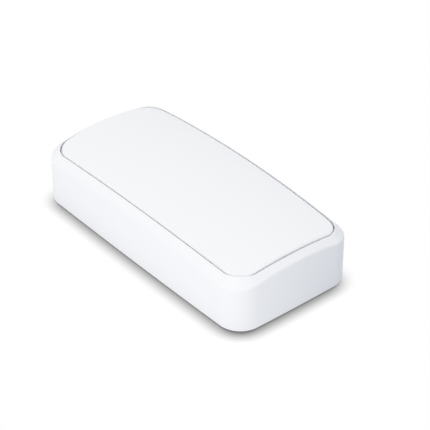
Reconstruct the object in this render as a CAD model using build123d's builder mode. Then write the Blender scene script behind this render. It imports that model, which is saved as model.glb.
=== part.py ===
from build123d import *
import math
import os

# Temperature and humidity sensor: a wall plate, and a front body that lifts off it with the electronics.
# All sizes are in millimetres. The origin is the middle of the wall face, +Z points away from the wall
# and +X runs along the length.

os.makedirs("parts", exist_ok=True)

# Outline of the body
body_length = 70.0
side_room = 4.75          # from the cell to the outside of a long wall
corner_radius = 5.8
long_side_bow = 0.3       # a long wall stands out by this at its middle
short_side_bow = 0.2
overrun = 1.0             # how far a cut reaches past what it cuts
rooting = 0.3             # how far an added post or rib is rooted in what carries it

# Stack of the pieces, from the wall outwards
plate_thickness = 1.8
plate_gap = 0.3           # wall plate to the chassis and to the skirt round it
skirt_gap = 0.3           # skirt of the front shell to the wall
chassis_floor = 1.4
cell_recess = 0.2         # coin cell behind the back of the chassis
cell_height = 5.0
contact_room = 0.8        # between the cell and the circuit board
board_thickness = 1.0
component_room = 1.8      # between the circuit board and the deck
deck_thickness = 1.0
crown_room = 4.6          # from the deck to the crown of the front panel

# Front shell
wall = 1.8
rim_crown_lift = 0.57     # crown that the rim follows, over the crown of the panel
crown_fall_long = 2.17    # fall of that crown from the middle to the end walls
crown_fall_across = 2.3   # and to the long walls
shoulder_width = 2.4      # sloping rim, measured from the outside
shoulder_drop = 1.9       # and from that crown down the wall
shoulder_radius = 0.45
lower_edge = 0.3
rim_width = 1.5           # from the outside to the recess of the front panel
recess_long_bow = 0.65
recess_short_bow = 0.5
recess_radius = 5.2
recess_lip = 0.15         # small chamfer on the lip of the recess
pry_slot_width = 12.0
pry_slot_height = 1.2

# Front panel
panel_gap = 0.35          # air inlet all round the panel
panel_thickness = 1.3
panel_fall_long = 1.7
panel_fall_across = 1.95
panel_corner_radius = 4.6 # a little less than the recess leaves, so the gap narrows at the corners
panel_edge = 0.3
panel_lift = 0.5          # air gap between the panel's edge and the deck
panel_rib = 1.0
panel_rib_spacing = 12.0
panel_rib_clearance = 0.6
panel_rib_count = 4
peg_radius = 1.4
peg_collar_radius = 2.3
peg_clearance = 0.15
peg_reach = 0.6           # peg tip below the deck
peg_spacing = 18.0
peg_inset = 4.4           # from the recess's long side to the peg rows

# Coin cell
cell_diameter = 24.5
cell_offset = 10.0        # cell axis from the middle, towards -X
cell_clearance = 0.3
cell_can_wall = 0.35
cell_can_edge = 0.6
cell_seal_width = 0.9
cell_crimp_depth = 0.3

# Battery chassis
chassis_gap = 0.2         # chassis to the inside of the front shell
chassis_wall = 1.2
chassis_wall_height = 3.0
bay_wall = 1.0
bay_wall_gap = 0.3        # top of the bay wall to the circuit board
chassis_rib = 1.0
finger_slot_radius = 3.2
finger_slot_reach = 1.2
post_radius = 3.0
post_height = 2.9         # from the back of the chassis to the screw boss

# Screws
boss_inset = 4.7          # corner bosses from the inside of both walls
boss_radius = 2.3
screw_radius = 1.0
screw_clearance = 0.1
screw_head_radius = 1.9
screw_head_height = 1.3
screw_head_sink = 1.6
chassis_screw_length = 6.0
board_screw_length = 3.2
board_boss_radius = 2.2
screw_cross_width = 0.5
screw_cross_length = 2.2
screw_cross_depth = 0.7
screw_tip = 0.4

# Circuit board
board_margin = 1.0
board_corner_radius = 3.0
board_boss_clearance = 0.4
board_screw_place = 9.0
board_screw_inset = 4.2   # from the inside of the long walls
slot_width = 1.0
sensor_inset = 5.7        # sensor from the end of the board
sensor_slot_reach = 3.6   # from the sensor to the isolating slots
sensor_slot_length = 5.5

# Sensor chamber
sensor_width = 2.5
sensor_height = 0.9
sensor_port_radius = 0.5
sensor_port_depth = 0.3
gasket_radius = 3.3
gasket_bore_radius = 2.3
membrane_thickness = 0.2
grille_slot_width = 0.8
grille_slot_length = 3.6
grille_spacing = 1.3
grille_count = 3

# Radio module
module_length = 16.0
module_width = 12.0
module_thickness = 0.8
module_margin = 1.0
module_notch_radius = 0.35
module_notch_spacing = 1.5
module_notch_count = 8
shield_width = 10.4
shield_height = 0.85
shield_wall = 0.2
shield_end_margin = 0.6
shield_hole_radius = 0.4
shield_hole_spacing = 2.4
shield_hole_rows = 2
shield_hole_columns = 3
radio_chip_width = 4.0
radio_chip_height = 0.5
antenna_width = 0.4
antenna_thickness = 0.1
antenna_spacing = 1.2
antenna_reach = 2.8
antenna_margin = 0.6
antenna_gap = 1.0         # antenna to the shield can
antenna_rows = 6

# Small electronic components on the front of the board, in a row from the radio module
component_gap = 0.8
controller_width = 5.0
controller_height = 0.85
pin_mark_radius = 0.4
pin_mark_depth = 0.1
pin_mark_inset = 0.9
memory_length = 5.0
memory_width = 4.0
memory_height = 1.0
memory_side = 3.2
crystal_length = 3.2
crystal_width = 1.5
crystal_height = 0.8
crystal_side = 5.2
regulator_length = 2.9
regulator_width = 1.6
regulator_height = 1.1
regulator_leg = 0.6
regulator_leg_width = 0.4
regulator_leg_height = 0.5
regulator_leg_spacing = 0.95
regulator_place = 8.5
regulator_side = -3.0
inductor_width = 3.0
inductor_height = 1.2
inductor_cap_height = 0.25
inductor_neck_radius = 1.1
inductor_place = 14.0
inductor_side = -3.0
bulk_length = 3.5
bulk_width = 2.8
bulk_height = 1.5
bulk_bevel = 0.25
bulk_place = 9.0
bulk_side = 3.0
chip_part_length = 1.6
chip_part_width = 0.8
ceramic_height = 0.8
resistor_height = 0.45
chip_part_spacing = 2.6
chip_part_row_spacing = 2.0
ceramic_columns = 4
resistor_columns = 3
chip_part_rows = 2
ceramic_side = -4.4
resistor_side = -6.2

# Cell contacts
contact_thickness = 0.25
contact_bend = 0.5
positive_width = 6.0
positive_foot = 3.4
positive_stand_off = 1.1
positive_touch_gap = 0.1
positive_clear = 0.8      # contact to the walls of its slot in the bay wall
negative_width = 7.0
negative_half_length = 6.0
negative_finger_rise = 3.0
negative_finger_tip = 1.2
negative_touch_gap = 0.1

# Pairing button, its switch and the status light
button_place = 16.0
button_side = 4.5
button_radius = 2.5
button_gap = 0.3          # button in its hole
button_recess = 0.3       # button face behind the back of the chassis
button_edge = 0.3
button_flange = 0.8
button_flange_height = 0.6
button_stem_radius = 1.3
button_lash = 0.05        # button's stem to the switch's plunger
button_travel = 0.3
guide_gap = 0.3
guide_wall = 0.9
guide_height = 2.2
switch_width = 6.0
switch_height = 2.0
switch_cover_thickness = 0.2
switch_bore_gap = 0.3
plunger_radius = 1.6
plunger_reach = 0.8
plunger_inside = 0.9
light_radius = 1.3
light_flange = 0.8
light_flange_height = 0.8
light_gap = 0.1
light_led_gap = 0.3
led_length = 3.2
led_width = 1.6
led_height = 1.1
led_lens_height = 0.6
led_lens_width = 1.2
led_lens_length = 2.0

# Wall plate
plate_screw_spacing = 48.0
plate_screw_radius = 2.0
plate_sink_radius = 3.2
plate_sink_angle = 90
plate_edge = 0.4
pad_length = 14.0
pad_width = 20.0
pad_depth = 0.4
pad_radius = 2.0
pad_land = 8.0
tongue_offset = 8.5       # tongues from the corner bosses, along the length
tongue_width = 9.0
tongue_thickness = 1.2
tongue_rise = 4.0
tongue_gap = 0.25         # tongue to the bowed wall beside it
tongue_clearance = 0.5    # tongue to the notch in the chassis
barb_reach = 0.15
barb_drop = 1.0
barb_lead = 0.3
groove_depth = 0.5
groove_height = 1.6

# Heights and spans that follow from the sizes above
chassis_back = plate_thickness + plate_gap
chassis_front = chassis_back + chassis_floor
cell_back = chassis_back + cell_recess
cell_front = cell_back + cell_height
board_back = cell_front + contact_room
board_front = board_back + board_thickness
deck_back = board_front + component_room
deck_front = deck_back + deck_thickness
body_height = deck_front + crown_room
body_width = cell_diameter + 2 * side_room
inner_half_length = body_length / 2 - wall
inner_half_width = body_width / 2 - wall
boss_x = inner_half_length - boss_inset
boss_y = inner_half_width - boss_inset
boss_back = chassis_back + post_height
board_length = 2 * (inner_half_length - board_margin)
board_width = 2 * (inner_half_width - board_margin)
board_screw_y = inner_half_width - board_screw_inset
sensor_x = board_length / 2 - sensor_inset
module_x = -board_length / 2 + module_margin + module_length / 2
module_front = board_front + module_thickness
module_end = module_x + module_length / 2
shield_length = module_length - antenna_margin - antenna_reach - antenna_gap - shield_end_margin
shield_x = module_end - shield_end_margin - shield_length / 2
memory_x = module_end + component_gap + memory_length / 2
controller_x = memory_x + memory_length / 2 + component_gap + controller_width / 2
ceramic_row = chip_part_spacing * (ceramic_columns - 1) + chip_part_length
resistor_row = chip_part_spacing * (resistor_columns - 1) + chip_part_length
ceramic_x = module_end + component_gap + ceramic_row / 2
resistor_x = ceramic_x + ceramic_row / 2 + component_gap + resistor_row / 2
cell_x = -cell_offset
cell_radius = cell_diameter / 2
bay_radius = cell_radius + cell_clearance
bay_top = board_back - bay_wall_gap
recess_length = body_length - 2 * rim_width
recess_width = body_width - 2 * rim_width
panel_length = recess_length - 2 * panel_gap
panel_width = recess_width - 2 * panel_gap
panel_back = deck_front + panel_lift
peg_y = recess_width / 2 - peg_inset
tongue_x = boss_x - tongue_offset
tongue_outer = inner_half_width - long_side_bow - tongue_gap
tongue_inner = tongue_outer - tongue_thickness
tongue_top = plate_thickness + tongue_rise
barb_height = tongue_top - barb_drop
switch_back = board_back - switch_height
switch_cover_back = switch_back - switch_cover_thickness
plunger_back = switch_cover_back - plunger_reach

corner_bosses = [(x, y) for x in (-boss_x, boss_x) for y in (-boss_y, boss_y)]
board_bosses = [(board_screw_place, -board_screw_y), (board_screw_place, board_screw_y)]
peg_places = [(x * peg_spacing, y * peg_y) for x in (-1, 0, 1) for y in (-1, 1)]
tongue_places = [(x * tongue_x, y) for x in (-1, 1) for y in (-1, 1)]


def bowed_face(height, length, width, long_bow, short_bow, radius):
    """Flat face at a height: four shallow arcs that stand out at their middles, with rounded corners."""
    middle_x = length / 2
    middle_y = width / 2
    corner_x = middle_x - short_bow
    corner_y = middle_y - long_bow
    with BuildSketch(Plane.XY.offset(height)) as face:
        with BuildLine():
            ThreePointArc((-corner_x, -corner_y), (0, -middle_y), (corner_x, -corner_y))
            ThreePointArc((corner_x, -corner_y), (middle_x, 0), (corner_x, corner_y))
            ThreePointArc((corner_x, corner_y), (0, middle_y), (-corner_x, corner_y))
            ThreePointArc((-corner_x, corner_y), (-middle_x, 0), (-corner_x, -corner_y))
        make_face()
        fillet(face.vertices(), radius=radius)
    return face.sketch


def arc_radius(half_span, fall):
    """Radius of an arc that falls by this much at the end of its half span."""
    return (half_span**2 + fall**2) / (2 * fall)


def crowned_block(top, half_length, fall_long, half_width, fall_across, depth=0):
    """Solid under a crown that falls both ways: an arc along the length, spun about a long axis below it.

    With a depth, the crown lies that far under the outer one, everywhere at the same distance.
    """
    long_radius = arc_radius(half_length, fall_long) - depth
    across_radius = arc_radius(half_width, fall_across)
    axis_height = top - across_radius
    reach = half_length + overrun
    middle = axis_height - across_radius + depth
    end = middle + long_radius - math.sqrt(long_radius**2 - reach**2)
    with BuildPart() as block:
        # The profile hangs below the axis, so that the seam of the spin lies far from the crown
        with BuildSketch(Plane.XZ):
            with BuildLine():
                ThreePointArc((-reach, end), (0, middle), (reach, end))
                Polyline((reach, end), (reach, axis_height), (-reach, axis_height), (-reach, end))
            make_face()
        revolve(axis=Axis((0, 0, axis_height), (1, 0, 0)))
    return block.part


def screw(length):
    """Pan head screw along +Z: the head's face at zero, the thread drawn at its outer diameter."""
    end = screw_head_height + length
    with BuildPart() as piece:
        with BuildSketch(Plane.XZ):
            with BuildLine():
                Line((0, 0), (screw_head_radius - screw_tip, 0))
                Line((screw_head_radius - screw_tip, 0), (screw_head_radius, screw_tip))
                Line((screw_head_radius, screw_tip), (screw_head_radius, screw_head_height))
                Line((screw_head_radius, screw_head_height), (screw_radius, screw_head_height))
                Line((screw_radius, screw_head_height), (screw_radius, end - screw_tip))
                Line((screw_radius, end - screw_tip), (0, end))
                Line((0, end), (0, 0))
            make_face()
        revolve(axis=Axis.Z)
        with BuildSketch():
            Rectangle(screw_cross_length, screw_cross_width)
            Rectangle(screw_cross_width, screw_cross_length)
        extrude(amount=screw_cross_depth, mode=Mode.SUBTRACT)
    return piece.part


# Wall plate, fixed to the wall, with the snap tongues that hold the front body
with BuildPart() as tongues:
    for tongue_place in (-tongue_x, tongue_x):
        with BuildSketch(Plane.YZ.offset(tongue_place)):
            with BuildLine():
                Polyline(
                    (tongue_inner, plate_thickness - rooting),
                    (tongue_outer, plate_thickness - rooting),
                    (tongue_outer, barb_height - barb_reach),
                    (tongue_outer + barb_reach, barb_height),
                    (tongue_outer + barb_reach, barb_height + barb_lead),
                    (tongue_outer - barb_lead, tongue_top),
                    (tongue_inner, tongue_top),
                    close=True,
                )
            make_face()
        extrude(amount=tongue_width / 2, both=True)
    mirror(about=Plane.XZ)

with BuildPart() as wall_plate:
    plate_side_gap = wall + plate_gap
    extrude(
        bowed_face(0, body_length - 2 * plate_side_gap, body_width - 2 * plate_side_gap,
                   long_side_bow, short_side_bow, corner_radius - plate_side_gap),
        amount=plate_thickness,
    )
    chamfer(wall_plate.faces().sort_by(Axis.Z)[-1].edges(), length=plate_edge)
    add(tongues.part)
    with BuildSketch():
        with GridLocations(pad_land + pad_length, pad_width, 2, 1):
            RectangleRounded(pad_length, pad_width, pad_radius)
    extrude(amount=pad_depth, mode=Mode.SUBTRACT)
    with Locations(Plane.XY.offset(plate_thickness)):
        with GridLocations(plate_screw_spacing, plate_screw_spacing, 2, 1):
            CounterSinkHole(
                plate_screw_radius,
                plate_sink_radius,
                depth=plate_thickness + overrun,
                counter_sink_angle=plate_sink_angle,
            )
wall_plate.part.label = "wall_plate"
export_step(wall_plate.part, "parts/wall_plate.step")

# Front shell: a skirt with a sloping shoulder, and a deck that carries the panel and the circuit board
with BuildPart() as front_shell:
    extrude(
        bowed_face(skirt_gap, body_length, body_width, long_side_bow, short_side_bow, corner_radius),
        amount=body_height + overrun,
    )
    add(
        crowned_block(body_height + rim_crown_lift, body_length / 2, crown_fall_long,
                      body_width / 2, crown_fall_across),
        mode=Mode.INTERSECT,
    )
    crown = front_shell.faces().sort_by(Axis.Z)[-1]
    chamfer(crown.edges(), length=shoulder_width, length2=shoulder_drop, reference=crown)
    crown = front_shell.faces().sort_by(Axis.Z)[-1]
    shoulder_edges = front_shell.edges().filter_by(
        lambda edge: edge.center().Z > body_height / 2 and edge.length > corner_radius
    )
    inside_edges = crown.edges()
    fillet([edge for edge in shoulder_edges if edge not in inside_edges], radius=shoulder_radius)
    chamfer(front_shell.faces().sort_by(Axis.Z)[0].edges(), length=lower_edge)
    # Room for the chassis and the electronics
    extrude(
        bowed_face(0, 2 * inner_half_length, 2 * inner_half_width,
                   long_side_bow, short_side_bow, corner_radius - wall),
        amount=deck_back,
        mode=Mode.SUBTRACT,
    )
    # Recess of the front panel, with a softened lip
    extrude(
        bowed_face(deck_front, recess_length, recess_width,
                   recess_long_bow, recess_short_bow, recess_radius),
        amount=crown_room + overrun,
        mode=Mode.SUBTRACT,
    )
    lip_edges = front_shell.edges(Select.LAST).filter_by(
        lambda edge: edge.center().Z > deck_front + panel_lift and edge.length > corner_radius
    )
    chamfer(lip_edges, length=recess_lip)
    # Bosses for the chassis screws and the board screws
    with BuildSketch(Plane.XY.offset(boss_back)):
        with Locations(*corner_bosses):
            Circle(boss_radius)
    extrude(amount=deck_back - boss_back + rooting)
    with BuildSketch(Plane.XY.offset(board_front)):
        with Locations(*board_bosses):
            Circle(board_boss_radius)
    extrude(amount=component_room + rooting)
    with BuildSketch(Plane.XY.offset(boss_back)):
        with Locations(*corner_bosses):
            Circle(screw_radius + screw_clearance)
    extrude(amount=chassis_screw_length, mode=Mode.SUBTRACT)
    with BuildSketch(Plane.XY.offset(board_front)):
        with Locations(*board_bosses):
            Circle(screw_radius + screw_clearance)
    extrude(amount=board_screw_length, mode=Mode.SUBTRACT)
    # Sockets for the panel's pegs, and the grille over the sensor
    with BuildSketch(Plane.XY.offset(deck_back)):
        with Locations(*peg_places):
            Circle(peg_radius + peg_clearance)
        with Locations((sensor_x, 0)):
            with GridLocations(grille_spacing, grille_spacing, grille_count, 1):
                SlotOverall(grille_slot_length, grille_slot_width, rotation=90)
    extrude(amount=deck_thickness + overrun, mode=Mode.SUBTRACT)
    # Grooves that the snap tongues engage, and the pry slot in the end that faces -X
    with Locations(*[(x, y * inner_half_width, barb_height) for x, y in tongue_places]):
        Box(tongue_width + 2 * tongue_clearance, 2 * groove_depth, groove_height, mode=Mode.SUBTRACT)
    with BuildSketch(Plane.YZ.offset(-body_length / 2 - overrun)):
        with Locations((0, skirt_gap)):
            SlotOverall(pry_slot_width, 2 * pry_slot_height)
    extrude(amount=wall + 2 * overrun, mode=Mode.SUBTRACT)
front_shell.part.label = "front_shell"
export_step(front_shell.part, "parts/front_shell.step")

# Front panel: a crowned cover that stands on pegs in the deck, with an air gap all round
with BuildPart() as panel_hollow:
    extrude(
        bowed_face(
            panel_back - overrun,
            panel_length - 2 * panel_thickness,
            panel_width - 2 * panel_thickness,
            recess_long_bow,
            recess_short_bow,
            panel_corner_radius - panel_thickness,
        ),
        amount=crown_room + overrun,
    )
    add(
        crowned_block(body_height, panel_length / 2, panel_fall_long,
                      panel_width / 2, panel_fall_across, panel_thickness),
        mode=Mode.INTERSECT,
    )
    with BuildSketch(Plane.XY.offset(panel_back + panel_rib_clearance)):
        with GridLocations(panel_rib_spacing, panel_width, panel_rib_count, 1):
            Rectangle(panel_rib, panel_width)
        Rectangle(panel_length, panel_rib)
    extrude(amount=crown_room, mode=Mode.SUBTRACT)
    with BuildSketch(Plane.XY.offset(panel_back - overrun)):
        with Locations(*peg_places):
            Circle(peg_collar_radius)
    extrude(amount=crown_room + overrun, mode=Mode.SUBTRACT)

with BuildPart() as front_panel:
    extrude(
        bowed_face(panel_back, panel_length, panel_width,
                   recess_long_bow, recess_short_bow, panel_corner_radius),
        amount=crown_room,
    )
    add(
        crowned_block(body_height, panel_length / 2, panel_fall_long, panel_width / 2, panel_fall_across),
        mode=Mode.INTERSECT,
    )
    chamfer(front_panel.faces().sort_by(Axis.Z)[-1].edges(), length=panel_edge)
    add(panel_hollow.part, mode=Mode.SUBTRACT)
    with BuildSketch(Plane.XY.offset(deck_front)):
        with Locations(*peg_places):
            Circle(peg_collar_radius)
    extrude(amount=panel_lift + rooting)
    with BuildSketch(Plane.XY.offset(deck_back - peg_reach)):
        with Locations(*peg_places):
            Circle(peg_radius)
    extrude(amount=peg_reach + deck_thickness + rooting)
front_panel.part.label = "front_panel"
export_step(front_panel.part, "parts/front_panel.step")

# Battery chassis: closes the front shell from behind and holds the coin cell, the button and the light guide
with BuildPart() as battery_chassis:
    chassis_side_gap = wall + chassis_gap
    chassis_inside = chassis_side_gap + chassis_wall
    extrude(
        bowed_face(chassis_back, body_length - 2 * chassis_side_gap, body_width - 2 * chassis_side_gap,
                   long_side_bow, short_side_bow, corner_radius - chassis_side_gap),
        amount=chassis_floor + chassis_wall_height,
    )
    extrude(
        bowed_face(chassis_front, body_length - 2 * chassis_inside, body_width - 2 * chassis_inside,
                   long_side_bow, short_side_bow, corner_radius - chassis_inside),
        amount=chassis_wall_height,
        mode=Mode.SUBTRACT,
    )
    with BuildSketch(Plane.XY.offset(chassis_front - rooting)):
        Rectangle(2 * inner_half_length - 2 * chassis_wall, chassis_rib)
    extrude(amount=chassis_wall_height)
    with BuildSketch(Plane.XY.offset(chassis_front - rooting)):
        with Locations((cell_x, 0)):
            Circle(bay_radius + bay_wall)
    extrude(amount=bay_top - chassis_front + rooting)
    with BuildSketch(Plane.XY.offset(chassis_back)):
        with Locations(*corner_bosses):
            Circle(post_radius)
    extrude(amount=post_height)
    with BuildSketch(Plane.XY.offset(chassis_front - rooting)):
        with Locations((button_place, button_side), (button_place, -button_side)):
            Circle(button_radius + button_flange + guide_gap + guide_wall)
    extrude(amount=guide_height + rooting)
    # Cell bay, with a half-round slot for a fingertip
    with BuildSketch(Plane.XY.offset(chassis_back)):
        with Locations((cell_x, 0)):
            Circle(bay_radius)
        with Locations((cell_x - bay_radius + finger_slot_reach, 0)):
            Circle(finger_slot_radius)
    extrude(amount=bay_top - chassis_back, mode=Mode.SUBTRACT)
    # Slot for the positive contact beside the cell
    with BuildSketch(Plane.XY.offset(chassis_front)):
        with Locations((cell_x + bay_radius, 0)):
            Rectangle(
                positive_foot + positive_stand_off + 2 * positive_clear,
                positive_width + 2 * positive_clear,
                align=(Align.MIN, Align.CENTER),
            )
        with Locations((cell_x + bay_radius - cell_clearance, 0)):
            Rectangle(2 * bay_wall, positive_width + 2 * positive_clear)
    extrude(amount=bay_top - chassis_front, mode=Mode.SUBTRACT)
    # Room for the button's flange and the light guide's flange
    with BuildSketch(Plane.XY.offset(chassis_front)):
        with Locations((button_place, button_side)):
            Circle(button_radius + button_flange + guide_gap)
        with Locations((button_place, -button_side)):
            Circle(light_radius + light_flange + guide_gap)
    extrude(amount=guide_height, mode=Mode.SUBTRACT)
    with BuildSketch(Plane.XY.offset(chassis_back)):
        with Locations((button_place, button_side)):
            Circle(button_radius + button_gap)
        with Locations((button_place, -button_side)):
            Circle(light_radius + light_gap)
    extrude(amount=chassis_floor, mode=Mode.SUBTRACT)
    # Notches that let the snap tongues pass
    notch_depth = inner_half_width - tongue_inner + tongue_clearance
    with Locations(*[(x, y * inner_half_width, chassis_back) for x, y in tongue_places]):
        Box(
            tongue_width + 2 * tongue_clearance,
            2 * notch_depth,
            2 * (chassis_floor + chassis_wall_height + overrun),
            mode=Mode.SUBTRACT,
        )
    with Locations(*[Plane((x, y, chassis_back), z_dir=(0, 0, -1)) for x, y in corner_bosses]):
        CounterBoreHole(
            screw_radius + screw_clearance,
            screw_head_radius + screw_clearance,
            screw_head_sink,
            depth=post_height,
        )
battery_chassis.part.label = "battery_chassis"
export_step(battery_chassis.part, "parts/battery_chassis.step")

# Screws: four through the chassis into the corner bosses, two through the circuit board
with BuildPart() as chassis_screws:
    with Locations(*[(x, y, chassis_back + screw_head_sink - screw_head_height) for x, y in corner_bosses]):
        add(screw(chassis_screw_length))
chassis_screws.part.label = "chassis_screws"
export_step(chassis_screws.part, "parts/chassis_screws.step")

with BuildPart() as board_screws:
    with Locations(*[(x, y, board_back - screw_head_height) for x, y in board_bosses]):
        add(screw(board_screw_length))
board_screws.part.label = "board_screws"
export_step(board_screws.part, "parts/board_screws.step")

# Circuit board, with slots that keep the warmth of the electronics from the sensor
with BuildPart() as circuit_board:
    with BuildSketch(Plane.XY.offset(board_back)):
        RectangleRounded(board_length, board_width, board_corner_radius)
        with Locations(*corner_bosses):
            Circle(boss_radius + board_boss_clearance, mode=Mode.SUBTRACT)
        with Locations(*board_bosses):
            Circle(screw_radius + screw_clearance, mode=Mode.SUBTRACT)
        with Locations((sensor_x - sensor_slot_reach, 0)):
            SlotOverall(sensor_slot_length, slot_width, rotation=90, mode=Mode.SUBTRACT)
        with Locations((sensor_x, sensor_slot_reach), (sensor_x, -sensor_slot_reach)):
            SlotOverall(sensor_slot_length, slot_width, mode=Mode.SUBTRACT)
    extrude(amount=board_thickness)
circuit_board.part.label = "circuit_board"
export_step(circuit_board.part, "parts/circuit_board.step")

# Coin cell: the can is the positive pole and faces the wall plate, the cap is the negative pole
with BuildPart() as cell_can:
    with BuildSketch(Plane.XY.offset(cell_back)):
        with Locations((cell_x, 0)):
            Circle(cell_radius)
    extrude(amount=cell_height - cell_crimp_depth)
    chamfer(cell_can.edges().group_by(Axis.Z)[0], length=cell_can_edge)
    with BuildSketch(Plane.XY.offset(cell_back + cell_can_wall)):
        with Locations((cell_x, 0)):
            Circle(cell_radius - cell_can_wall)
    extrude(amount=cell_height, mode=Mode.SUBTRACT)
cell_can.part.label = "cell_can"
export_step(cell_can.part, "parts/cell_can.step")

with BuildPart() as cell_cap:
    with BuildSketch(Plane.XY.offset(cell_back + cell_can_wall)):
        with Locations((cell_x, 0)):
            Circle(cell_radius - cell_can_wall - cell_seal_width)
    extrude(amount=cell_height - cell_can_wall)
    chamfer(cell_cap.edges().group_by(Axis.Z)[-1], length=cell_can_edge)
cell_cap.part.label = "cell_cap"
export_step(cell_cap.part, "parts/cell_cap.step")

with BuildPart() as cell_seal:
    with BuildSketch(Plane.XY.offset(cell_back + cell_can_wall)):
        with Locations((cell_x, 0)):
            Circle(cell_radius - cell_can_wall)
            Circle(cell_radius - cell_can_wall - cell_seal_width, mode=Mode.SUBTRACT)
    extrude(amount=cell_height - cell_can_wall - 2 * cell_crimp_depth)
cell_seal.part.label = "cell_seal"
export_step(cell_seal.part, "parts/cell_seal.step")

# Cell contacts, bent from sheet and soldered to the back of the board
foot_height = board_back - contact_thickness / 2
with BuildPart() as positive_contact:
    with BuildSketch(Plane.XZ):
        with BuildLine() as positive_path:
            blade_x = cell_x + cell_radius + positive_stand_off
            touch_x = cell_x + cell_radius + positive_touch_gap + contact_thickness / 2
            FilletPolyline(
                (blade_x + positive_foot, foot_height),
                (blade_x, foot_height),
                (blade_x, cell_front - cell_height / 4),
                (touch_x, cell_front - cell_height / 2),
                (blade_x, chassis_front + contact_bend),
                radius=contact_bend,
            )
        trace(positive_path.line, line_width=contact_thickness)
    extrude(amount=positive_width / 2, both=True)
positive_contact.part.label = "positive_contact"
export_step(positive_contact.part, "parts/positive_contact.step")

with BuildPart() as negative_contact:
    with BuildSketch(Plane.XZ):
        with BuildLine() as negative_path:
            touch_height = cell_front + negative_touch_gap + contact_thickness / 2
            FilletPolyline(
                (cell_x - negative_half_length, foot_height),
                (cell_x, foot_height),
                (cell_x + negative_finger_rise, touch_height),
                (cell_x + negative_finger_rise + negative_finger_tip, touch_height),
                radius=contact_bend,
            )
        trace(negative_path.line, line_width=contact_thickness)
    extrude(amount=negative_width / 2, both=True)
negative_contact.part.label = "negative_contact"
export_step(negative_contact.part, "parts/negative_contact.step")

# Sensor chamber: the sensor, a foam ring round it and a membrane under the grille
with BuildPart() as humidity_sensor:
    with BuildSketch(Plane.XY.offset(board_front)):
        with Locations((sensor_x, 0)):
            Rectangle(sensor_width, sensor_width)
    extrude(amount=sensor_height)
    with Locations((sensor_x, 0, board_front + sensor_height)):
        Hole(sensor_port_radius, depth=sensor_port_depth)
humidity_sensor.part.label = "humidity_sensor"
export_step(humidity_sensor.part, "parts/humidity_sensor.step")

with BuildPart() as sensor_gasket:
    with BuildSketch(Plane.XY.offset(board_front)):
        with Locations((sensor_x, 0)):
            Circle(gasket_radius)
            Circle(gasket_bore_radius, mode=Mode.SUBTRACT)
    extrude(amount=component_room - membrane_thickness)
sensor_gasket.part.label = "sensor_gasket"
export_step(sensor_gasket.part, "parts/sensor_gasket.step")

with BuildPart() as filter_membrane:
    with BuildSketch(Plane.XY.offset(deck_back - membrane_thickness)):
        with Locations((sensor_x, 0)):
            Circle(gasket_radius)
    extrude(amount=membrane_thickness)
filter_membrane.part.label = "filter_membrane"
export_step(filter_membrane.part, "parts/filter_membrane.step")

# Radio module: its own small board with half-round solder notches, a chip, a shield can and a trace antenna
with BuildPart() as radio_module:
    with BuildSketch(Plane.XY.offset(board_front)):
        with Locations((module_x, 0)):
            Rectangle(module_length, module_width)
            with GridLocations(module_notch_spacing, module_width, module_notch_count, 2):
                Circle(module_notch_radius, mode=Mode.SUBTRACT)
    extrude(amount=module_thickness)
radio_module.part.label = "radio_module"
export_step(radio_module.part, "parts/radio_module.step")

with BuildPart() as shield_can:
    with BuildSketch(Plane.XY.offset(module_front)):
        with Locations((shield_x, 0)):
            Rectangle(shield_length, shield_width)
    extrude(amount=shield_height)
    fillet(shield_can.edges().filter_by(Axis.Z), radius=shield_wall)
    with BuildSketch(Plane.XY.offset(module_front)):
        with Locations((shield_x, 0)):
            Rectangle(shield_length - 2 * shield_wall, shield_width - 2 * shield_wall)
    extrude(amount=shield_height - shield_wall, mode=Mode.SUBTRACT)
    with BuildSketch(Plane.XY.offset(module_front)):
        with Locations((shield_x, 0)):
            with GridLocations(shield_hole_spacing, shield_hole_spacing,
                               shield_hole_columns, shield_hole_rows):
                Circle(shield_hole_radius)
    extrude(amount=shield_height, mode=Mode.SUBTRACT)
shield_can.part.label = "shield_can"
export_step(shield_can.part, "parts/shield_can.step")

with BuildPart() as radio_chip:
    with BuildSketch(Plane.XY.offset(module_front)):
        with Locations((shield_x, 0)):
            Rectangle(radio_chip_width, radio_chip_width)
    extrude(amount=radio_chip_height)
radio_chip.part.label = "radio_chip"
export_step(radio_chip.part, "parts/radio_chip.step")

with BuildPart() as trace_antenna:
    with BuildSketch(Plane.XY.offset(module_front)):
        with BuildLine() as meander:
            near_x = module_x - module_length / 2 + antenna_margin
            points = []
            for row in range(antenna_rows):
                row_y = (row - (antenna_rows - 1) / 2) * antenna_spacing
                ends = [(near_x, row_y), (near_x + antenna_reach, row_y)]
                points += ends if row % 2 == 0 else ends[::-1]
            Polyline(*points)
        trace(meander.line, line_width=antenna_width)
    extrude(amount=antenna_thickness)
trace_antenna.part.label = "trace_antenna"
export_step(trace_antenna.part, "parts/trace_antenna.step")

# Components on the front of the board
with BuildPart() as controller_chip:
    with BuildSketch(Plane.XY.offset(board_front)):
        with Locations((controller_x, 0)):
            Rectangle(controller_width, controller_width)
    extrude(amount=controller_height)
    with Locations((controller_x + pin_mark_inset - controller_width / 2,
                    controller_width / 2 - pin_mark_inset,
                    board_front + controller_height)):
        Hole(pin_mark_radius, depth=pin_mark_depth)
controller_chip.part.label = "controller_chip"
export_step(controller_chip.part, "parts/controller_chip.step")

with BuildPart() as memory_chip:
    with BuildSketch(Plane.XY.offset(board_front)):
        with Locations((memory_x, memory_side)):
            Rectangle(memory_length, memory_width)
    extrude(amount=memory_height)
    with Locations((memory_x + pin_mark_inset - memory_length / 2,
                    memory_side + memory_width / 2 - pin_mark_inset,
                    board_front + memory_height)):
        Hole(pin_mark_radius, depth=pin_mark_depth)
memory_chip.part.label = "memory_chip"
export_step(memory_chip.part, "parts/memory_chip.step")

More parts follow.
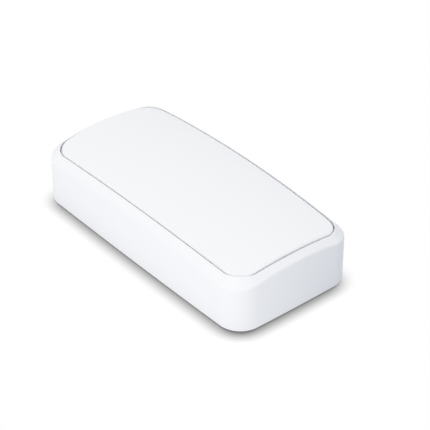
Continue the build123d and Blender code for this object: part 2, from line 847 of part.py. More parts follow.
with BuildPart() as timing_crystal:
    with BuildSketch(Plane.XY.offset(board_front)):
        with Locations((controller_x, crystal_side)):
            Rectangle(crystal_length, crystal_width)
    extrude(amount=crystal_height)
    fillet(timing_crystal.edges().filter_by(Axis.Z), radius=crystal_width / 6)
timing_crystal.part.label = "timing_crystal"
export_step(timing_crystal.part, "parts/timing_crystal.step")

with BuildPart() as regulator_chip:
    with BuildSketch(Plane.XY.offset(board_front)):
        with Locations((regulator_place, regulator_side)):
            Rectangle(regulator_length, regulator_width)
    extrude(amount=regulator_height)
    with BuildSketch(Plane.XY.offset(board_front)):
        with Locations((regulator_place, regulator_side)):
            with GridLocations(regulator_leg_spacing, regulator_width, 3, 2):
                Rectangle(regulator_leg_width, 2 * regulator_leg)
    extrude(amount=regulator_leg_height)
regulator_chip.part.label = "regulator_chip"
export_step(regulator_chip.part, "parts/regulator_chip.step")

with BuildPart() as power_inductor:
    with BuildSketch(Plane.XY.offset(board_front)):
        with Locations((inductor_place, inductor_side)):
            RectangleRounded(inductor_width, inductor_width, inductor_width / 6)
    extrude(amount=inductor_cap_height)
    with BuildSketch(Plane.XY.offset(board_front + inductor_height - inductor_cap_height)):
        with Locations((inductor_place, inductor_side)):
            RectangleRounded(inductor_width, inductor_width, inductor_width / 6)
    extrude(amount=inductor_cap_height)
    with BuildSketch(Plane.XY.offset(board_front)):
        with Locations((inductor_place, inductor_side)):
            Circle(inductor_neck_radius)
    extrude(amount=inductor_height)
power_inductor.part.label = "power_inductor"
export_step(power_inductor.part, "parts/power_inductor.step")

with BuildPart() as bulk_capacitor:
    with BuildSketch(Plane.XY.offset(board_front)):
        with Locations((bulk_place, bulk_side)):
            Rectangle(bulk_length, bulk_width)
    extrude(amount=bulk_height)
    chamfer(bulk_capacitor.faces().sort_by(Axis.Z)[-1].edges(), length=bulk_bevel)
bulk_capacitor.part.label = "bulk_capacitor"
export_step(bulk_capacitor.part, "parts/bulk_capacitor.step")

with BuildPart() as ceramic_capacitors:
    with BuildSketch(Plane.XY.offset(board_front)):
        with Locations((ceramic_x, ceramic_side)):
            with GridLocations(chip_part_spacing, chip_part_row_spacing, ceramic_columns, chip_part_rows):
                Rectangle(chip_part_length, chip_part_width)
    extrude(amount=ceramic_height)
ceramic_capacitors.part.label = "ceramic_capacitors"
export_step(ceramic_capacitors.part, "parts/ceramic_capacitors.step")

with BuildPart() as chip_resistors:
    with BuildSketch(Plane.XY.offset(board_front)):
        with Locations((resistor_x, resistor_side)):
            with GridLocations(chip_part_spacing, chip_part_row_spacing, resistor_columns, chip_part_rows):
                Rectangle(chip_part_length, chip_part_width)
    extrude(amount=resistor_height)
chip_resistors.part.label = "chip_resistors"
export_step(chip_resistors.part, "parts/chip_resistors.step")

# Status light: a light-emitting diode on the back of the board, and the guide that carries its light out
led_back = board_back - led_height
with BuildPart() as status_led:
    with BuildSketch(Plane.XY.offset(led_back + led_lens_height)):
        with Locations((button_place, -button_side)):
            Rectangle(led_length, led_width)
    extrude(amount=led_height - led_lens_height)
    with BuildSketch(Plane.XY.offset(led_back)):
        with Locations((button_place, -button_side)):
            Rectangle(led_lens_length, led_lens_width)
    extrude(amount=led_lens_height)
status_led.part.label = "status_led"
export_step(status_led.part, "parts/status_led.step")

with BuildPart() as light_guide:
    with BuildSketch(Plane.XY.offset(chassis_back)):
        with Locations((button_place, -button_side)):
            Circle(light_radius)
    extrude(amount=led_back - light_led_gap - chassis_back)
    with BuildSketch(Plane.XY.offset(chassis_front)):
        with Locations((button_place, -button_side)):
            Circle(light_radius + light_flange)
    extrude(amount=light_flange_height)
light_guide.part.label = "light_guide"
export_step(light_guide.part, "parts/light_guide.step")

# Tactile switch on the back of the board
with BuildPart() as switch_body:
    with BuildSketch(Plane.XY.offset(switch_back)):
        with Locations((button_place, button_side)):
            Rectangle(switch_width, switch_width)
    extrude(amount=switch_height)
    with BuildSketch(Plane.XY.offset(switch_back)):
        with Locations((button_place, button_side)):
            Circle(plunger_radius + switch_bore_gap)
    extrude(amount=plunger_inside + button_travel + switch_bore_gap, mode=Mode.SUBTRACT)
switch_body.part.label = "switch_body"
export_step(switch_body.part, "parts/switch_body.step")

with BuildPart() as switch_cover:
    with BuildSketch(Plane.XY.offset(switch_cover_back)):
        with Locations((button_place, button_side)):
            Rectangle(switch_width, switch_width)
            Circle(plunger_radius + switch_bore_gap, mode=Mode.SUBTRACT)
    extrude(amount=switch_cover_thickness)
switch_cover.part.label = "switch_cover"
export_step(switch_cover.part, "parts/switch_cover.step")

with BuildPart() as switch_plunger:
    with BuildSketch(Plane.XY.offset(plunger_back)):
        with Locations((button_place, button_side)):
            Circle(plunger_radius)
    extrude(amount=switch_back + plunger_inside - plunger_back)
switch_plunger.part.label = "switch_plunger"
export_step(switch_plunger.part, "parts/switch_plunger.step")

# Pairing button: its flange rests on the chassis and its stem reaches the switch
with BuildPart() as pairing_button:
    with BuildSketch(Plane.XY.offset(chassis_back + button_recess)):
        with Locations((button_place, button_side)):
            Circle(button_radius)
    extrude(amount=chassis_floor - button_recess)
    chamfer(pairing_button.edges().group_by(Axis.Z)[0], length=button_edge)
    with BuildSketch(Plane.XY.offset(chassis_front)):
        with Locations((button_place, button_side)):
            Circle(button_radius + button_flange)
    extrude(amount=button_flange_height)
    with BuildSketch(Plane.XY.offset(chassis_front)):
        with Locations((button_place, button_side)):
            Circle(button_stem_radius)
    extrude(amount=plunger_back - button_lash - chassis_front)
pairing_button.part.label = "pairing_button"
export_step(pairing_button.part, "parts/pairing_button.step")
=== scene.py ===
import logging
import math
from dataclasses import dataclass
from enum import Enum

import bmesh
import bpy
from mathutils import Matrix, Vector


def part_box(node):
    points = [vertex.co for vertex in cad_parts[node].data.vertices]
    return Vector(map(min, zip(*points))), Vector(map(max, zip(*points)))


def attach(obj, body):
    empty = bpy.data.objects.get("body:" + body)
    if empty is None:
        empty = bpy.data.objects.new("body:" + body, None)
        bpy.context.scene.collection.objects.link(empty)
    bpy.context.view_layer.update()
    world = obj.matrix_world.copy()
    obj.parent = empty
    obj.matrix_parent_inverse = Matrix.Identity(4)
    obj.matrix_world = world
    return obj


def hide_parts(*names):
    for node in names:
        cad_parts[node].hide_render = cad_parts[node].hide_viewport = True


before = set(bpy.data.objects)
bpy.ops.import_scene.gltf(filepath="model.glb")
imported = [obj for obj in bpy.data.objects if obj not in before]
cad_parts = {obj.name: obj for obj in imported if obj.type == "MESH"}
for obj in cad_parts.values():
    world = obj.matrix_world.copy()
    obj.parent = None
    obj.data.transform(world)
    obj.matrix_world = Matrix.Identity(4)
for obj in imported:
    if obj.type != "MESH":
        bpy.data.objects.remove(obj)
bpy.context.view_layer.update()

# Looks of a wall-mounted temperature and humidity sensor, lying on its back on a pale floor.
# Sizes in the classes are in millimetres; meshes are in metres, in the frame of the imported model.

MM = 0.001
SMOOTH_ANGLE = math.radians(32)
FULL_TURN = 2 * math.pi
# Corners closer than this, in metres, are one corner; rolled threads meet themselves less exactly
WELD = 1e-7
ROLLED_WELD = 1e-6
# Fineness of the noise in a grain, and in the soft patches that lie under it
GRAIN_DETAIL = 3.0
PATCH_DETAIL = 2.0
LOG = logging.getLogger("sensor")

Colour = tuple[float, float, float, float]
Point = tuple[float, float]
Surface = tuple[bpy.types.Material, bpy.types.NodeTree, bpy.types.Node, bpy.types.NodeSocket]


def linear(code: str) -> Colour:
    """Turns an sRGB hex colour into the linear values that a shader reads.

    Args:
        code: The colour as six hex digits.

    Returns:
        Red, green, blue and an alpha of one.
    """
    channels = [int(code[i:i + 2], 16) / 255 for i in (0, 2, 4)]
    return (*[c / 12.92 if c <= 0.04045 else ((c + 0.055) / 1.055) ** 2.4 for c in channels], 1.0)


def per_metre(size: float) -> float:
    """Scale of a texture whose pattern has this size in millimetres."""
    return 1 / (size * MM)


def add_node(tree: bpy.types.NodeTree, kind: str, settings: dict | None = None,
             values: dict | None = None, links: dict | None = None) -> bpy.types.Node:
    """Adds a node with its settings, the values of its sockets and what feeds them.

    Args:
        tree: The node tree that gets the node.
        kind: The node's type.
        settings: Properties of the node by name.
        values: Values of input sockets by name or number.
        links: Output sockets that feed input sockets, by name or number.

    Returns:
        The new node.
    """
    node = tree.nodes.new(kind)
    for name, value in (settings or {}).items():
        setattr(node, name, value)
    for name, value in (values or {}).items():
        node.inputs[name].default_value = value
    for name, source in (links or {}).items():
        tree.links.new(source, node.inputs[name])
    return node


def new_surface(name: str) -> Surface:
    """Starts a material.

    Args:
        name: The material's name.

    Returns:
        The material, its tree, its surface shader and the socket with the object's own coordinates.
    """
    material = bpy.data.materials.new(name)
    material.use_nodes = True
    tree = material.node_tree
    coordinates = add_node(tree, "ShaderNodeTexCoord")
    return material, tree, tree.nodes["Principled BSDF"], coordinates.outputs["Object"]


@dataclass(frozen=True)
class MouldedPlastic:
    """Injection moulded plastic from a spark-eroded tool: a soft sheen broken by a very fine grain."""

    name: str
    colour: str
    shade: str
    roughness: float
    ior: float = 1.53
    grain: float = 0.3
    grain_depth: float = 0.002
    patch: float = 14.0
    sheen_spread: float = 0.05

    def make(self) -> bpy.types.Material:
        """Builds the material.

        Returns:
            The finished material.
        """
        material, tree, surface, place = new_surface(self.name)
        surface.inputs["IOR"].default_value = self.ior
        # Melt flow leaves patches a hair duller than the rest
        patches = add_node(tree, "ShaderNodeTexNoise",
                           values={"Scale": per_metre(self.patch), "Detail": PATCH_DETAIL},
                           links={"Vector": place})
        blend = add_node(tree, "ShaderNodeMix", {"data_type": "RGBA"},
                         {6: linear(self.colour), 7: linear(self.shade)}, {0: patches.outputs["Fac"]})
        tree.links.new(blend.outputs[2], surface.inputs["Base Color"])
        # The real grain is under 0.1 mm; drawn coarser, it still shows as a soft break in the sheen
        grain = add_node(tree, "ShaderNodeTexNoise",
                         values={"Scale": per_metre(self.grain), "Detail": GRAIN_DETAIL},
                         links={"Vector": place})
        gloss = add_node(tree, "ShaderNodeMapRange",
                         values={"To Min": self.roughness - self.sheen_spread,
                                 "To Max": self.roughness + self.sheen_spread},
                         links={"Value": grain.outputs["Fac"]})
        tree.links.new(gloss.outputs["Result"], surface.inputs["Roughness"])
        bump = add_node(tree, "ShaderNodeBump", values={"Distance": self.grain_depth * MM},
                        links={"Height": grain.outputs["Fac"]})
        tree.links.new(bump.outputs["Normal"], surface.inputs["Normal"])
        return material


class Lay(Enum):
    """How a metal surface was worked, which says how its finest lines run."""

    ROLLED = "lines along the length"
    TURNED = "rings about an axis"
    TUMBLED = "no direction"


@dataclass(frozen=True)
class PlatedMetal:
    """Plated sheet or wire: a metal sheen drawn out by the way it was rolled, turned or tumbled."""

    name: str
    colour: str
    shade: str
    roughness: float
    lay: Lay = Lay.TUMBLED
    line: float = 0.25
    line_depth: float = 0.0015
    centre: Point = (0.0, 0.0)
    sheen_spread: float = 0.08
    # Rolled lines run on, so their pattern changes along the strip at this share of its rate across
    rolled_share: float = 0.04

    def make(self) -> bpy.types.Material:
        """Builds the material.

        Returns:
            The finished material.
        """
        material, tree, surface, place = new_surface(self.name)
        surface.inputs["Metallic"].default_value = 1.0
        # Real rolling and turning lines are under 0.05 mm; drawn coarser, they still show in the sheen
        stretch = {
            Lay.ROLLED: (self.rolled_share, 1.0, 1.0),
            Lay.TURNED: (1.0, 1.0, 0.0),
            Lay.TUMBLED: (1.0, 1.0, 1.0),
        }
        turned = add_node(tree, "ShaderNodeMapping",
                          values={"Location": (-self.centre[0], -self.centre[1], 0.0),
                                  "Scale": stretch[self.lay]},
                          links={"Vector": place})
        if self.lay is Lay.TURNED:
            reach = add_node(tree, "ShaderNodeVectorMath", {"operation": "LENGTH"},
                             links={0: turned.outputs["Vector"]})
            lines = add_node(tree, "ShaderNodeTexNoise", {"noise_dimensions": "1D"},
                             {"Scale": per_metre(self.line), "Detail": GRAIN_DETAIL},
                             {"W": reach.outputs["Value"]})
        else:
            lines = add_node(tree, "ShaderNodeTexNoise",
                             values={"Scale": per_metre(self.line), "Detail": GRAIN_DETAIL},
                             links={"Vector": turned.outputs["Vector"]})
        blend = add_node(tree, "ShaderNodeMix", {"data_type": "RGBA"},
                         {6: linear(self.shade), 7: linear(self.colour)}, {0: lines.outputs["Fac"]})
        tree.links.new(blend.outputs[2], surface.inputs["Base Color"])
        gloss = add_node(tree, "ShaderNodeMapRange",
                         values={"To Min": self.roughness - self.sheen_spread,
                                 "To Max": self.roughness + self.sheen_spread},
                         links={"Value": lines.outputs["Fac"]})
        tree.links.new(gloss.outputs["Result"], surface.inputs["Roughness"])
        bump = add_node(tree, "ShaderNodeBump", values={"Distance": self.line_depth * MM},
                        links={"Height": lines.outputs["Fac"]})
        tree.links.new(bump.outputs["Normal"], surface.inputs["Normal"])
        return material


@dataclass(frozen=True)
class BoardLaminate:
    """Glass fibre laminate under solder mask: a satin green with the weave of the cloth just showing."""

    name: str = "fr4_laminate_solder_mask"
    colour: str = "1E5B3A"
    shade: str = "17492F"
    thread: float = 0.5
    thread_depth: float = 0.004
    thread_waver: float = 0.4
    roughness: float = 0.34
    ior: float = 1.55

    def make(self) -> bpy.types.Material:
        """Builds the material.

        Returns:
            The finished material.
        """
        material, tree, surface, place = new_surface(self.name)
        surface.inputs["Roughness"].default_value = self.roughness
        surface.inputs["IOR"].default_value = self.ior
        threads = [
            add_node(tree, "ShaderNodeTexWave", {"bands_direction": direction},
                     {"Scale": per_metre(self.thread) / FULL_TURN, "Distortion": self.thread_waver},
                     {"Vector": place})
            for direction in ("X", "Y")
        ]
        cloth = add_node(tree, "ShaderNodeMath", {"operation": "MULTIPLY"},
                         links={0: threads[0].outputs["Fac"], 1: threads[1].outputs["Fac"]})
        blend = add_node(tree, "ShaderNodeMix", {"data_type": "RGBA"},
                         {6: linear(self.shade), 7: linear(self.colour)}, {0: cloth.outputs["Value"]})
        tree.links.new(blend.outputs[2], surface.inputs["Base Color"])
        bump = add_node(tree, "ShaderNodeBump", values={"Distance": self.thread_depth * MM},
                        links={"Height": cloth.outputs["Value"]})
        tree.links.new(bump.outputs["Normal"], surface.inputs["Normal"])
        return material


@dataclass(frozen=True)
class CellFoam:
    """Open-cell foam or stretched film: dull, with pores that swallow the light."""

    name: str
    colour: str
    pore_colour: str
    pore: float
    pore_depth: float
    roughness: float = 0.85

    def make(self) -> bpy.types.Material:
        """Builds the material.

        Returns:
            The finished material.
        """
        material, tree, surface, place = new_surface(self.name)
        surface.inputs["Roughness"].default_value = self.roughness
        pores = add_node(tree, "ShaderNodeTexVoronoi", values={"Scale": per_metre(self.pore)},
                         links={"Vector": place})
        blend = add_node(tree, "ShaderNodeMix", {"data_type": "RGBA"},
                         {6: linear(self.pore_colour), 7: linear(self.colour)},
                         {0: pores.outputs["Distance"]})
        tree.links.new(blend.outputs[2], surface.inputs["Base Color"])
        bump = add_node(tree, "ShaderNodeBump", values={"Distance": self.pore_depth * MM},
                        links={"Height": pores.outputs["Distance"]})
        tree.links.new(bump.outputs["Normal"], surface.inputs["Normal"])
        return material


@dataclass(frozen=True)
class ClearPlastic:
    """Clear moulded polycarbonate: see-through, with faint haze that scatters the edges' light."""

    name: str = "clear_polycarbonate_moulded"
    colour: str = "F2F6F8"
    ior: float = 1.585
    clear_share: float = 0.9
    haze: float = 2.0
    smoothest: float = 0.08
    roughest: float = 0.22

    def make(self) -> bpy.types.Material:
        """Builds the material.

        Returns:
            The finished material.
        """
        material, tree, surface, place = new_surface(self.name)
        surface.inputs["Base Color"].default_value = linear(self.colour)
        surface.inputs["IOR"].default_value = self.ior
        surface.inputs["Transmission Weight"].default_value = self.clear_share
        haze = add_node(tree, "ShaderNodeTexNoise", values={"Scale": per_metre(self.haze)},
                        links={"Vector": place})
        gloss = add_node(tree, "ShaderNodeMapRange",
                         values={"To Min": self.smoothest, "To Max": self.roughest},
                         links={"Value": haze.outputs["Fac"]})
        tree.links.new(gloss.outputs["Result"], surface.inputs["Roughness"])
        return material


Finish = MouldedPlastic | PlatedMetal | BoardLaminate | CellFoam | ClearPlastic

CELL_CENTRE = (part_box("cell_can")[0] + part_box("cell_can")[1]) / 2

# White ABS of the shell: light, very slightly cool, with a satin sheen that stays soft at the edges
SHELL_ABS = MouldedPlastic("abs_white_spark_eroded", "F6F7F9", "F4F5F8", 0.46)
# The panel comes from the same resin with a finer tool finish, so its highlight is a little wider
PANEL_ABS = MouldedPlastic("abs_white_fine_grain", "F9F9FB", "F7F8FA", 0.50, grain=0.22, grain_depth=0.0012)
# Glass-filled chassis: greyer and duller, with short streaks from the fibres
CHASSIS_PLASTIC = MouldedPlastic("pc_abs_light_grey", "E4E6E8", "DADDDF", 0.52, 1.57, 0.4, 0.004, 5.0, 0.08)
# Wall plate in the shell's resin, off the mould with no texture, so it shines a little more
PLATE_PLASTIC = MouldedPlastic("abs_white_plain_mould", "EEEFF1", "E9EBED", 0.36, 1.53, 0.6, 0.003, 8.0)
# The button is a soft grey that reads against the chassis
BUTTON_PLASTIC = MouldedPlastic("pc_abs_mid_grey", "B9BEC3", "B0B5BA", 0.48, 1.57, 0.3, 0.003, 4.0)
# Epoxy chip bodies: nearly black, dull, with specks of filler
CHIP_EPOXY = MouldedPlastic("epoxy_mould_compound", "26282A", "1D1F20", 0.55, 1.55, 0.15, 0.003, 1.2, 0.1)
# Fired barium titanate, a dry tan
CERAMIC = MouldedPlastic("barium_titanate_fired", "A98A63", "97784F", 0.45, 1.6, 0.12, 0.002, 0.8, 0.1)
# Phosphor-filled silicone over the diode, a dull yellow that looks soft
LED_RESIN = MouldedPlastic("phosphor_silicone", "E9DFA0", "DDD08A", 0.35, 1.41, 0.1, 0.001, 0.6)
# Polypropylene ring between can and cap, waxy and translucent grey
CELL_SEAL = MouldedPlastic("polypropylene_natural", "C8CBCB", "BDC1C1", 0.40, 1.49, 0.2, 0.002, 2.0)
# Nickel-plated deep-drawn steel, polished in rings about the cell's axis
CELL_STEEL = PlatedMetal("nickel_plated_deep_drawn_steel", "D4D5D5", "CDCECE", 0.27, Lay.TURNED, 0.16, 0.0001,
                         (CELL_CENTRE.x, CELL_CENTRE.y))
# Nickel-plated spring strip, with rolling lines along it
CONTACT_NICKEL = PlatedMetal("nickel_plated_spring_steel", "CFCCC2", "BAB7AD", 0.30, Lay.ROLLED, 0.12, 0.001)
# Zinc-plated, barrel-tumbled screw wire with a faint blue passivation
SCREW_ZINC = PlatedMetal("zinc_plated_steel_passivated", "C3C9CE", "A9B0B6", 0.36, Lay.TUMBLED, 0.35, 0.002)
# Tin plate of the shield and the solder ends, soft and slightly mottled
TIN_PLATE = PlatedMetal("tin_plated_rolled", "CDCECF", "B9BBBD", 0.38, Lay.ROLLED, 0.2, 0.0015)
# Gold over nickel on the copper of the antenna
GOLD_COPPER = PlatedMetal("gold_flashed_copper", "E2B873", "D4A35C", 0.32, Lay.TUMBLED, 0.3, 0.001)
# Glass cloth in epoxy under green mask, satin, with a weave of real pitch just showing
BOARD = BoardLaminate()
# Dark open-cell foam, dull, with pores that stay black
GASKET_FOAM = CellFoam("polyurethane_open_cell", "4A4D50", "1E2021", 0.25, 0.05)
# Stretched film, matt white; its fibres are far under 0.1 mm and drawn coarser so that they show
MEMBRANE = CellFoam("expanded_ptfe_film", "F1F2F2", "DADCDD", 0.12, 0.004, 0.7)
# Clear and glossy, so it shows what is behind it
CLEAR = ClearPlastic()

NODE_FINISHES: dict[str, Finish] = {
    "front_shell": SHELL_ABS,
    "front_panel": PANEL_ABS,
    "battery_chassis": CHASSIS_PLASTIC,
    "wall_plate": PLATE_PLASTIC,
    "pairing_button": BUTTON_PLASTIC,
    "switch_body": CHIP_EPOXY,
    "switch_plunger": CHIP_EPOXY,
    "controller_chip": CHIP_EPOXY,
    "memory_chip": CHIP_EPOXY,
    "regulator_chip": CHIP_EPOXY,
    "radio_chip": CHIP_EPOXY,
    "humidity_sensor": CHIP_EPOXY,
    "power_inductor": CHIP_EPOXY,
    "bulk_capacitor": CHIP_EPOXY,
    "chip_resistors": CHIP_EPOXY,
    "ceramic_capacitors": CERAMIC,
    "status_led": LED_RESIN,
    "light_guide": CLEAR,
    "cell_can": CELL_STEEL,
    "cell_cap": CELL_STEEL,
    "cell_seal": CELL_SEAL,
    "positive_contact": CONTACT_NICKEL,
    "negative_contact": CONTACT_NICKEL,
    "switch_cover": CONTACT_NICKEL,
    "timing_crystal": CONTACT_NICKEL,
    "shield_can": TIN_PLATE,
    "chassis_screws": SCREW_ZINC,
    "board_screws": SCREW_ZINC,
    "trace_antenna": GOLD_COPPER,
    "circuit_board": BOARD,
    "radio_module": BOARD,
    "sensor_gasket": GASKET_FOAM,
    "filter_membrane": MEMBRANE,
}


class Workshop:
    """Turns finished meshes into pieces on the model's bodies, and keeps one material for each finish."""

    def __init__(self) -> None:
        """Starts with no materials made."""
        self.made: dict[str, bpy.types.Material] = {}

    def material(self, finish: Finish) -> bpy.types.Material:
        """Gives the material of a finish, made once.

        Args:
            finish: The finish to look up.

        Returns:
            Its material.
        """
        if finish.name not in self.made:
            self.made[finish.name] = finish.make()
        return self.made[finish.name]

    def dress_node(self, name: str) -> None:
        """Gives a carried-over node its finish.

        Args:
            name: The node's name.
        """
        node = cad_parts[name]
        material = self.material(NODE_FINISHES[name])
        if not node.material_slots:
            node.data.materials.append(material)
        for place in node.material_slots:
            place.material = material
        LOG.info("%s dressed in %s", name, material.name)

    def publish(self, mesh: bmesh.types.BMesh, name: str, finish: Finish, body: str,
                replaced: tuple[str, ...] = ()) -> None:
        """Makes a piece of a finished mesh, on the body that carries it.

        Args:
            mesh: The mesh, in metres, in the model's frame. It is freed.
            name: The piece's name.
            finish: Its finish.
            body: The body that it rides on.
            replaced: Nodes that it stands for.
        """
        bmesh.ops.remove_doubles(mesh, verts=mesh.verts, dist=WELD)
        bmesh.ops.recalc_face_normals(mesh, faces=mesh.faces)
        for face in mesh.faces:
            face.smooth = True
        for edge in mesh.edges:
            edge.smooth = edge.calc_face_angle(math.pi) < SMOOTH_ANGLE
        data = bpy.data.meshes.new(name)
        mesh.to_mesh(data)
        mesh.free()
        data.materials.append(self.material(finish))
        piece = bpy.data.objects.new(name, data)
        bpy.context.collection.objects.link(piece)
        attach(piece, body)
        if replaced:
            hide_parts(*replaced)
        LOG.info("%s built on %s with %d faces", name, body, len(data.polygons))


def turn(mesh: bmesh.types.BMesh, outline: list[Point], x: float, y: float, steps: int = 40) -> None:
    """Turns an outline about an upright axis, as on a lathe.

    Args:
        mesh: The mesh that gets the turned form.
        outline: Radius and height of each corner, in metres. It starts and ends on the axis, or closes
            on itself.
        x: Place of the axis.
        y: Place of the axis.
        steps: Flats round the form.
    """
    corners = [mesh.verts.new((x + radius, y, height)) for radius, height in outline]
    edges = [mesh.edges.new(pair) for pair in zip(corners, corners[1:])]
    if outline[0][0] > 0 and outline[-1][0] > 0:
        edges.append(mesh.edges.new((corners[-1], corners[0])))
    bmesh.ops.spin(mesh, geom=corners + edges, cent=(x, y, 0), axis=(0, 0, 1), angle=FULL_TURN,
                   steps=steps, use_merge=True)
    bmesh.ops.remove_doubles(mesh, verts=mesh.verts, dist=WELD)


def add_block(mesh: bmesh.types.BMesh, low: Vector, high: Vector, bevel: float) -> None:
    """Adds a block with softened edges between two corners.

    Args:
        mesh: The mesh that gets the block.
        low: Lowest corner, in metres.
        high: Highest corner, in metres.
        bevel: Width of its softened edges, in metres.
    """
    place = Matrix.Translation((low + high) / 2) @ Matrix.Diagonal((*(high - low), 1))
    made = bmesh.ops.create_cube(mesh, size=1.0, matrix=place)
    edges = list({edge for corner in made["verts"] for edge in corner.link_edges})
    bmesh.ops.bevel(mesh, geom=edges, offset=bevel, affect="EDGES", segments=2, profile=0.5, material=-1)


def append(mesh: bmesh.types.BMesh, other: bmesh.types.BMesh) -> None:
    """Adds another mesh to a mesh, and frees the other.

    Args:
        mesh: The mesh that grows.
        other: The mesh that is added.
    """
    data = bpy.data.meshes.new("carried_over")
    other.to_mesh(data)
    other.free()
    mesh.from_mesh(data)
    bpy.data.meshes.remove(data)


def carved(mesh: bmesh.types.BMesh, cutter: bmesh.types.BMesh) -> bmesh.types.BMesh:
    """Takes a cutter's volume out of a mesh.

    Args:
        mesh: The mesh to cut; it is freed.
        cutter: The volume that is taken out; it is freed.

    Returns:
        The cut mesh.
    """
    blocks = []
    for name, source in (("carved_body", mesh), ("carving_tool", cutter)):
        bmesh.ops.recalc_face_normals(source, faces=source.faces)
        data = bpy.data.meshes.new(name)
        source.to_mesh(data)
        source.free()
        block = bpy.data.objects.new(name, data)
        bpy.context.collection.objects.link(block)
        blocks.append(block)
    cut = blocks[0].modifiers.new("cut", "BOOLEAN")
    cut.operation = "DIFFERENCE"
    cut.solver = "EXACT"
    cut.use_self = True
    cut.object = blocks[1]
    bpy.context.view_layer.update()
    result = bmesh.new()
    result.from_object(blocks[0], bpy.context.evaluated_depsgraph_get())
    for block in blocks:
        data = block.data
        bpy.data.objects.remove(block)
        bpy.data.meshes.remove(data)
    return result


def add_cross(mesh: bmesh.types.BMesh, middle: Vector, span: float, bar: float, height: float) -> None:
    """Adds a raised plus sign whose face looks along -Z, rooted a little in what carries it.

    Its root is a quarter of its height, and the softened lip round its face a third.

    Args:
        mesh: The mesh that gets the sign.
        middle: Middle of its foot.
        span: Length of a bar, in metres.
        bar: Width of a bar, in metres.
        height: How far it stands out, in metres.
    """
    sign = bmesh.new()
    root, lip = height / 4, height / 3
    foot = middle + Vector((0, 0, root))
    bmesh.ops.create_grid(sign, x_segments=1, y_segments=1, size=bar / 2, matrix=Matrix.Translation(foot))
    for edge in list(sign.edges):
        outward = ((edge.verts[0].co + edge.verts[1].co) / 2 - foot).normalized()
        arm = bmesh.ops.extrude_edge_only(sign, edges=[edge])
        ends = [part for part in arm["geom"] if isinstance(part, bmesh.types.BMVert)]
        bmesh.ops.translate(sign, verts=ends, vec=outward * (span - bar) / 2)
    raised = bmesh.ops.extrude_face_region(sign, geom=sign.faces[:])
    tops = [part for part in raised["geom"] if isinstance(part, bmesh.types.BMVert)]
    bmesh.ops.translate(sign, verts=tops, vec=(0, 0, -height - root))
    rim = [edge for edge in sign.edges
           if all(end in tops for end in edge.verts) and edge.calc_face_angle(0) > SMOOTH_ANGLE]
    bmesh.ops.bevel(sign, geom=rim, offset=lip, affect="EDGES", segments=2, profile=0.5, material=-1)
    append(mesh, sign)


